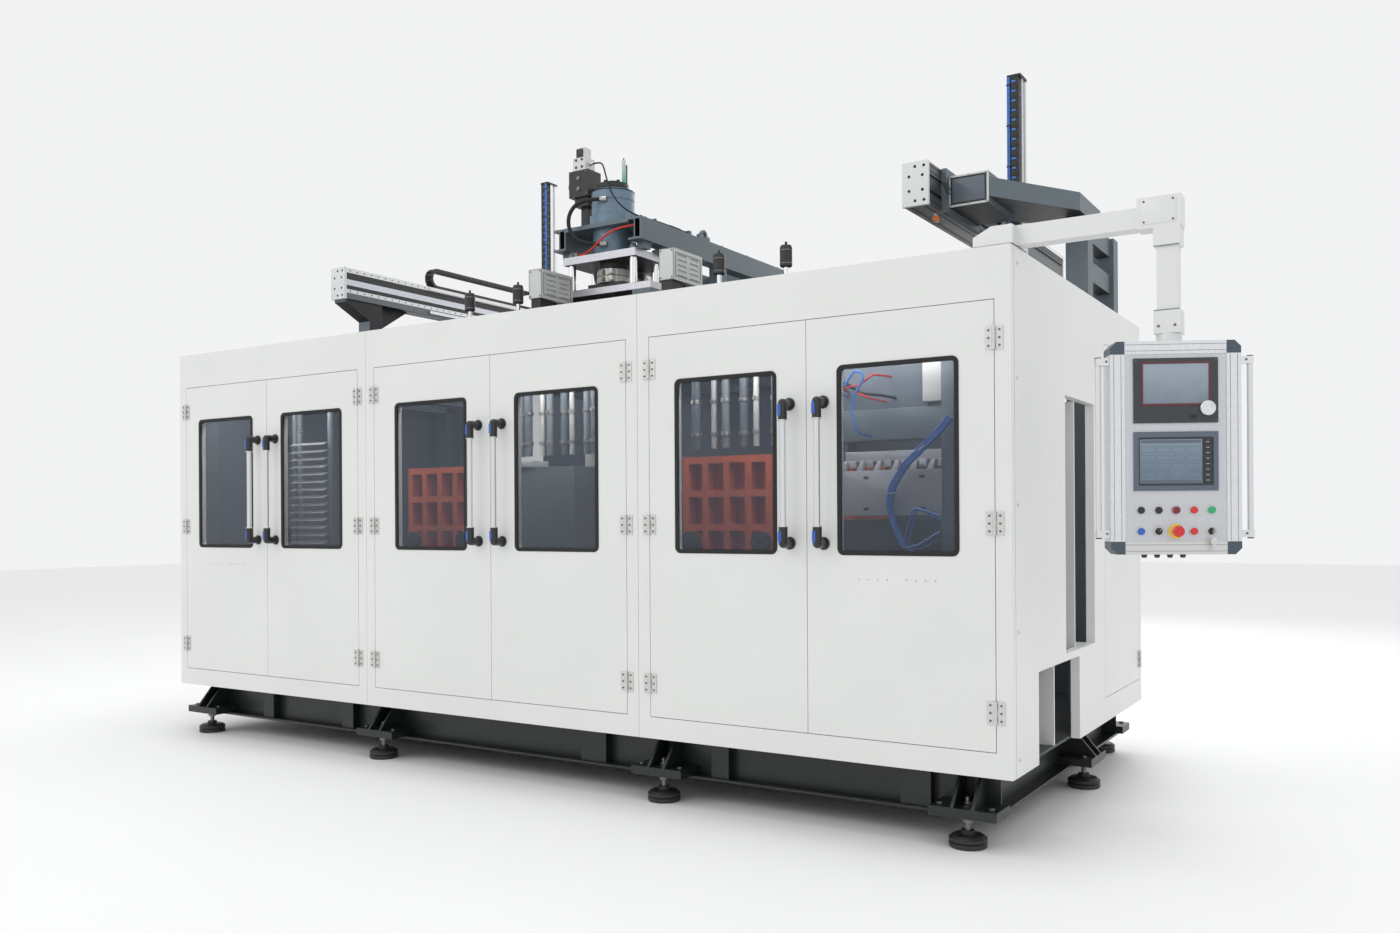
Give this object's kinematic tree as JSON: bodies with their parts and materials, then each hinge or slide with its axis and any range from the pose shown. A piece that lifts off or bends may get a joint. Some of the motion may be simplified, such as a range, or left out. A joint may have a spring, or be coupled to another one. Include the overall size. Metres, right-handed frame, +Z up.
{
  "type": "blow moulding machine",
  "caption": "Double-station extrusion blow moulding machine in a white guarded enclosure, with take-out robots, a parison head and a swinging operator pendant.",
  "frame": {"origin": "centre of the front right levelling foot's sole, on the floor", "axes": "+Z up, +X along the machine's long front towards the pendant, +Y from the operator's side to the back"},
  "size_m": [6.069, 3.1873, 3.965],
  "materials": {
    "panel_white": "smooth semi-gloss paint",
    "frame_black": "gloss black paint",
    "foot_black": "moulded nylon with black steel screws",
    "hinge_steel": "cast stainless steel",
    "steelwork_grey": "dark blue-grey paint",
    "smoked_glass": "smoked safety pane",
    "profile_silver": "anodised",
    "chain_black": "moulded",
    "plate_silver": "ground steel plates and chrome columns",
    "head_black": "heat-proof black",
    "cylinder_blue": "blue-grey enamel",
    "valve_black": "black oxide",
    "cover_grey": "light grey paint",
    "hose_black": "smooth rubber",
    "hose_red": "silicone",
    "arm_light": "light grey paint",
    "pendant_grey": "dark grey anodised profile",
    "screen_dark": "glossy bezel and panel",
    "grip_silver": "satin tube",
    "button_black": "gloss",
    "button_red": "gloss",
    "button_green": "gloss",
    "button_blue": "gloss",
    "platen_orange": "orange-red paint",
    "robot_silver": "anodised"
  },
  "bodies": {
    "machine": {"base_frame": "frame_black", "levelling_feet": "foot_black", "front_frames": "panel_white", "side_panels": "panel_white", "back_panels": "panel_white", "frame_hinge_leaves": "hinge_steel", "main_frame": "steelwork_grey", "gantry_supports": "steelwork_grey", "gantry_beams": "profile_silver", "cable_chain": "chain_black", "head_tower": "plate_silver", "die_head": "head_black", "head_cylinder": "cylinder_blue", "servo_valve": "valve_black", "yoke_beams": "steelwork_grey", "extruder": "cylinder_blue", "junction_boxes": "cover_grey", "guide_cylinders": "head_black", "arm_pivot": "arm_light", "hydraulic_hose": "hose_black", "red_hose": "hose_red", "sensor_cable": "hose_black"},
    "right_bay_right_door": {"right_bay_right_door": "panel_white", "right_bay_right_window": "smoked_glass"},
    "right_bay_left_door": {"right_bay_left_door": "panel_white", "right_bay_left_window": "smoked_glass"},
    "middle_bay_right_door": {"middle_bay_right_door": "panel_white", "middle_bay_right_window": "smoked_glass"},
    "middle_bay_left_door": {"middle_bay_left_door": "panel_white", "middle_bay_left_window": "smoked_glass"},
    "left_bay_right_door": {"left_bay_right_door": "panel_white", "left_bay_right_window": "smoked_glass"},
    "left_bay_left_door": {"left_bay_left_door": "panel_white", "left_bay_left_window": "smoked_glass"},
    "service_door": {"service_door": "panel_white", "service_window": "smoked_glass"},
    "swing_arm": {"swing_arm": "arm_light"},
    "pendant": {"pendant_case": "pendant_grey", "pendant_screens": "screen_dark", "pendant_handles": "grip_silver"},
    "start_button": {"start_button": "button_black"},
    "stop_button": {"stop_button": "button_black"},
    "red_button": {"red_button": "button_red"},
    "green_button": {"green_button": "button_green"},
    "blue_button": {"blue_button": "button_blue"},
    "speed_dial": {"speed_dial": "button_black"},
    "emergency_stop": {"emergency_stop": "button_red"},
    "reset_button": {"reset_button": "button_red"},
    "key_switch": {"key_switch": "grip_silver"},
    "jog_wheel": {"jog_wheel": "button_black"},
    "right_robot_carriage": {"right_robot_carriage": "robot_silver"},
    "right_robot_mast": {"right_robot_mast": "robot_silver"},
    "left_robot_carriage": {"left_robot_carriage": "robot_silver"},
    "left_robot_mast": {"left_robot_mast": "robot_silver"},
    "right_clamp_carriage": {"right_clamp_carriage": "steelwork_grey"},
    "right_front_platen": {"right_front_platen": "platen_orange"},
    "right_rear_platen": {"right_rear_platen": "platen_orange"},
    "left_clamp_carriage": {"left_clamp_carriage": "steelwork_grey"},
    "left_front_platen": {"left_front_platen": "platen_orange"},
    "left_rear_platen": {"left_rear_platen": "platen_orange"}
  },
  "joints": [
    {"name": "right_bay_right_door_hinge", "type": "hinge", "parent": "machine", "child": "right_bay_right_door", "pos_m": [0.1385, -0.0773, 1.26], "axis": [0, 0, 1], "range_deg": [0, 85]},
    {"name": "right_bay_left_door_hinge", "type": "hinge", "parent": "machine", "child": "right_bay_left_door", "pos_m": [-1.4705, -0.0773, 1.26], "axis": [0, 0, -1], "range_deg": [0, 85]},
    {"name": "middle_bay_right_door_hinge", "type": "hinge", "parent": "machine", "child": "middle_bay_right_door", "pos_m": [-1.6015, -0.0773, 1.26], "axis": [0, 0, 1], "range_deg": [0, 85]},
    {"name": "middle_bay_left_door_hinge", "type": "hinge", "parent": "machine", "child": "middle_bay_left_door", "pos_m": [-3.2905, -0.0773, 1.26], "axis": [0, 0, -1], "range_deg": [0, 85]},
    {"name": "left_bay_right_door_hinge", "type": "hinge", "parent": "machine", "child": "left_bay_right_door", "pos_m": [-3.4215, -0.0773, 1.26], "axis": [0, 0, 1], "range_deg": [0, 85]},
    {"name": "left_bay_left_door_hinge", "type": "hinge", "parent": "machine", "child": "left_bay_left_door", "pos_m": [-4.9805, -0.0773, 1.26], "axis": [0, 0, -1], "range_deg": [0, 85]},
    {"name": "service_door_hinge", "type": "hinge", "parent": "machine", "child": "service_door", "pos_m": [0.2113, 2.1715, 1.25], "axis": [0, 0, 1], "range_deg": [0, 100]},
    {"name": "pendant_arm_swing", "type": "hinge", "parent": "machine", "child": "swing_arm", "pos_m": [0.124, 0.05, 2.38], "axis": [0, 0, 1], "range_deg": [-55, 40]},
    {"name": "pendant_swivel", "type": "hinge", "parent": "swing_arm", "child": "pendant", "pos_m": [0.745, 0.05, 1.93], "axis": [0, 0, 1], "range_deg": [-45, 45]},
    {"name": "start_button_press", "type": "slide", "parent": "pendant", "child": "start_button", "axis": [-0.4617, 0.887, 0], "range_m": [0, 0.005], "stiffness_N_per_m": 300},
    {"name": "stop_button_press", "type": "slide", "parent": "pendant", "child": "stop_button", "axis": [-0.4617, 0.887, 0], "range_m": [0, 0.005], "stiffness_N_per_m": 300},
    {"name": "red_button_press", "type": "slide", "parent": "pendant", "child": "red_button", "axis": [-0.4617, 0.887, 0], "range_m": [0, 0.005], "stiffness_N_per_m": 300},
    {"name": "green_button_press", "type": "slide", "parent": "pendant", "child": "green_button", "axis": [-0.4617, 0.887, 0], "range_m": [0, 0.005], "stiffness_N_per_m": 300},
    {"name": "blue_button_press", "type": "slide", "parent": "pendant", "child": "blue_button", "axis": [-0.4617, 0.887, 0], "range_m": [0, 0.005], "stiffness_N_per_m": 300},
    {"name": "speed_dial_turn", "type": "hinge", "parent": "pendant", "child": "speed_dial", "pos_m": [0.72777, -0.0672, 1.24], "axis": [0.4617, -0.887, 0], "range_deg": [-135, 135]},
    {"name": "emergency_stop_press", "type": "slide", "parent": "pendant", "child": "emergency_stop", "axis": [-0.4617, 0.887, 0], "range_m": [0, 0.006]},
    {"name": "reset_button_press", "type": "slide", "parent": "pendant", "child": "reset_button", "axis": [-0.4617, 0.887, 0], "range_m": [0, 0.005], "stiffness_N_per_m": 300},
    {"name": "key_switch_turn", "type": "hinge", "parent": "pendant", "child": "key_switch", "pos_m": [0.88903, 0.01675, 1.24], "axis": [0.4617, -0.887, 0], "range_deg": [-90, 0]},
    {"name": "jog_wheel_turn", "type": "hinge", "parent": "pendant", "child": "jog_wheel", "pos_m": [0.87626, 0.0101, 1.675], "axis": [0.4617, -0.887, 0], "continuous": true},
    {"name": "right_robot_travel", "type": "slide", "parent": "machine", "child": "right_robot_carriage", "axis": [0, 1, 0], "range_m": [-0.3, 0.9]},
    {"name": "right_robot_lift", "type": "slide", "parent": "right_robot_carriage", "child": "right_robot_mast", "axis": [0, 0, 1], "range_m": [-0.9, 0.2]},
    {"name": "left_robot_travel", "type": "slide", "parent": "machine", "child": "left_robot_carriage", "axis": [0, 1, 0], "range_m": [-1.05, 0.15]},
    {"name": "left_robot_lift", "type": "slide", "parent": "left_robot_carriage", "child": "left_robot_mast", "axis": [0, 0, 1], "range_m": [-1.1, 0]},
    {"name": "right_clamp_travel", "type": "slide", "parent": "machine", "child": "right_clamp_carriage", "axis": [1, 0, 0], "range_m": [-0.3, 0.28]},
    {"name": "right_clamp_close", "type": "slide", "parent": "right_clamp_carriage", "child": "right_front_platen", "axis": [0, 1, 0], "range_m": [0, 0.2]},
    {"name": "right_rear_platen_close", "type": "slide", "parent": "right_clamp_carriage", "child": "right_rear_platen", "axis": [0, 1, 0], "range_m": [-0.2, 0]},
    {"name": "left_clamp_travel", "type": "slide", "parent": "machine", "child": "left_clamp_carriage", "axis": [1, 0, 0], "range_m": [-0.4, 0.4]},
    {"name": "left_clamp_close", "type": "slide", "parent": "left_clamp_carriage", "child": "left_front_platen", "axis": [0, 1, 0], "range_m": [0, 0.2]},
    {"name": "left_rear_platen_close", "type": "slide", "parent": "left_clamp_carriage", "child": "left_rear_platen", "axis": [0, 1, 0], "range_m": [-0.2, 0]}
  ],
  "couplings": [
    {"joint": "right_rear_platen_close", "follows": "right_clamp_close", "ratio": -1},
    {"joint": "left_rear_platen_close", "follows": "left_clamp_close", "ratio": -1}
  ]
}
